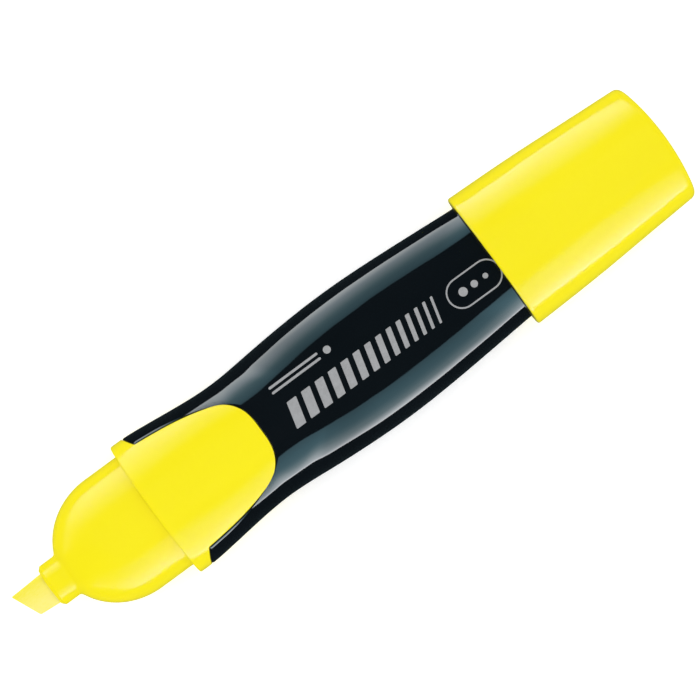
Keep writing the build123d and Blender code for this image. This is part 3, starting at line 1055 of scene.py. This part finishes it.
def card_glow(name, stops):
    """A card's light: its colour from stops up the fading, its strength from the level."""
    n = Nodes(name)
    n.tree.nodes.clear()
    fade, level = n.node("Attribute"), n.node("Attribute")
    fade.attribute_name, level.attribute_name = "fade", "level"
    ramp = n.node("ValToRGB", Fac=fade.outputs["Fac"])
    marks = ramp.color_ramp.elements
    while len(marks) < len(stops):
        marks.new(0.5)
    for mark, (position, *color) in zip(marks, stops):
        mark.position, mark.color = position, (*(part / CARD_STRENGTH for part in color), 1)
    strength = n.math("MULTIPLY", level.outputs["Fac"], CARD_STRENGTH)
    glow = n.node("Emission", Color=ramp.outputs["Color"], Strength=strength)
    n.node("OutputMaterial", Surface=glow.outputs["Emission"])
    return n.material


def make_card(name, side, low, high, stops):
    """A long glowing card beside the pen, seen only in its gloss: bright at its foot, dim at its top.
    Its lower and upper edges are elevations in degrees at points along the pen, in millimetres."""
    mesh = card_mesh(name, side, low, high)
    mesh.materials.append(card_glow(name, stops))
    card = add_to_scene(name, mesh)
    hide_from(card, "camera", "diffuse", "transmission", "shadow")


WORLD_LIGHT, WORLD_SEEN, WORLD_GLOSS = 0.9, 1.05, 0.05
WHITE, GLOSS_TINT = (1.0, 1.0, 1.0, 1), (0.55, 0.8, 0.9, 1)


def make_world():
    """Even white surroundings that light the pen softly and leave its gloss nearly dark."""
    world = bpy.data.worlds.new("studio")
    bpy.context.scene.world = world
    world.use_nodes = True
    tree = world.node_tree
    path = new_node(tree, "LightPath")
    result = feed(tree.nodes["Background"], Color=WHITE, Strength=WORLD_LIGHT).outputs["Background"]
    for ray, color, strength in (
        ("Is Camera Ray", WHITE, WORLD_SEEN), ("Is Glossy Ray", GLOSS_TINT, WORLD_GLOSS)
    ):
        other = new_node(tree, "Background", Color=color, Strength=strength)
        mix = new_node(tree, "MixShader", Fac=path.outputs[ray])
        fill(mix.inputs[1], result)
        fill(mix.inputs[2], other.outputs["Background"])
        result = mix.outputs["Shader"]
    fill(tree.nodes["World Output"].inputs["Surface"], result)


LAMP_SIZE, LAMP_HEIGHT, LAMP_POWER = 1.6, 1.6, 6.0


def make_overhead():
    """A broad soft lamp straight above."""
    lamp = bpy.data.lights.new("overhead", "AREA")
    lamp.shape = "SQUARE"
    lamp.size, lamp.energy = LAMP_SIZE, LAMP_POWER
    thing = add_to_scene("overhead", lamp)
    thing.location = (0, 0, LAMP_HEIGHT)
    hide_from(thing, "glossy", "camera")


CAMERA_LENS, CAMERA_SENSOR = 200.0, 36.0
CAMERA_DISTANCE = 0.598
PEN_HEADING = 36.35  # degrees
CAMERA_TILT = math.radians(3.5)
AIM_STATION, AIM_Y = 64.5, 2.08


def make_camera():
    """Looks down on the pen from slightly to its -Y side, so that it lies from lower left to upper right."""
    data = bpy.data.cameras.new("camera")
    data.lens, data.sensor_width = CAMERA_LENS, CAMERA_SENSOR
    camera = add_to_scene("camera", data)
    aim = Vector(((AIM_STATION + NIB_TIP_X) * MM, AIM_Y * MM, AXIS_Z * MM))
    lean = Matrix.Rotation(CAMERA_TILT, 4, "X")
    turned = Matrix.Rotation(-math.radians(PEN_HEADING), 4, "Z")
    eye = aim + lean @ Vector((0, 0, CAMERA_DISTANCE))
    camera.matrix_world = Matrix.Translation(eye) @ lean @ turned
    bpy.context.scene.camera = camera


make_floor()
make_card(
    "card_left", 1,
    low=(
        (-150, 20), (-60, 20), (-46, 19), (-40.5, 19), (-38.5, 18.5), (-36, 14), (-31, 10.5), (-23.5, 10.5),
        (-21.5, 14), (-20.2, 19.6), (-19.5, 20.2), (-18.6, 19), (-17.7, 16.8), (-15.1, 14), (-12.5, 11.8),
        (-9.9, 9.3), (-7.4, 7.6), (-2.2, 5.2), (3.2, 4.3), (8.8, 3.2), (16.3, 3), (20.8, 3.4), (25.2, 4.7),
        (29.4, 6.3), (32.5, 9), (35, 12.5), (38.4, 13.2), (43.5, 12), (48.8, 10.3), (54, 9.5), (58.6, 11),
        (63.2, 15.5), (66, 20.5), (70, 25), (78, 27), (130, 27),
    ),
    high=(
        (-150, 54), (-60, 52), (-46, 51.5), (-30, 51), (-25.2, 50.3), (-21.5, 49), (-17.7, 48), (-14.3, 47),
        (-11, 45.9), (-4.3, 44.4), (2.8, 43.7), (10.3, 43.3), (16.8, 42.8), (22.5, 43.3), (27.7, 44.1),
        (32.5, 44.9), (36.5, 45.4), (39.5, 45.1), (43, 45.6), (50, 47.4), (60, 48.7), (65, 49.2),
        (70, 48.6), (130, 48),
    ),
    stops=(
        (0, 7.2, 7.6, 7.8), (0.08, 6.2, 6.7, 6.9), (0.2, 5.4, 6, 6.2), (0.4, 3.5, 4.2, 4.6),
        (0.55, 1.95, 2.75, 3), (0.65, 1.15, 1.95, 2.2), (0.75, 0.83, 1.55, 1.8), (0.85, 0.7, 1.4, 1.65),
        (1, 0.5, 1, 1.2),
    ),
)
make_card(
    "card_right", -1,
    low=(
        (-150, 24), (-60, 24), (-46, 23.5), (-40.5, 23), (-38.5, 18.5), (-36, 16), (-31, 12), (-24.5, 13),
        (-22.5, 17.5), (-21.3, 23.3), (-20.5, 24.8), (-18.8, 24), (-17.2, 20.9), (-14.8, 17.7),
        (-12.1, 15.8), (-9.4, 13.8), (-6.6, 11.8), (-2.6, 9.1), (1.7, 8.3), (7.5, 8.1), (13.1, 8.4),
        (19.3, 8.9), (22.8, 10.2), (26.2, 11.2), (29.4, 12.8), (32.8, 15.5), (36, 18), (39.5, 17.3),
        (45, 16), (50, 14.6), (55, 14.3), (60, 15), (66, 18), (78, 20), (130, 20),
    ),
    high=(
        (-150, 60), (-60, 57), (-46, 56.5), (-28.3, 56), (-24.2, 55), (-20.2, 53.6), (-16.3, 52.7),
        (-9, 50.7), (-5.2, 50), (-1.4, 49.6), (5.5, 49.2), (10.9, 49), (18.2, 49.4), (24.4, 49.7),
        (30, 50.5), (35.3, 51.4), (38.5, 52.2), (41.5, 53.2), (46.6, 53.8), (54.1, 54.7), (60.3, 54.2),
        (66, 52.7), (70.9, 50.5), (72.8, 49.5), (130, 49),
    ),
    stops=(
        (0, 12.4, 12.8, 13), (0.07, 10.6, 11.2, 11.6), (0.15, 7.6, 8.4, 8.8), (0.22, 5.9, 6.8, 7.2),
        (0.37, 3, 4.05, 4.4), (0.5, 1.65, 2.75, 3.15), (0.6, 1.15, 2.2, 2.6), (0.75, 0.95, 1.95, 2.35),
        (1, 0.78, 1.5, 1.8),
    ),
)
make_world()
make_overhead()
make_camera()
bpy.context.scene.view_settings.view_transform = "Standard"
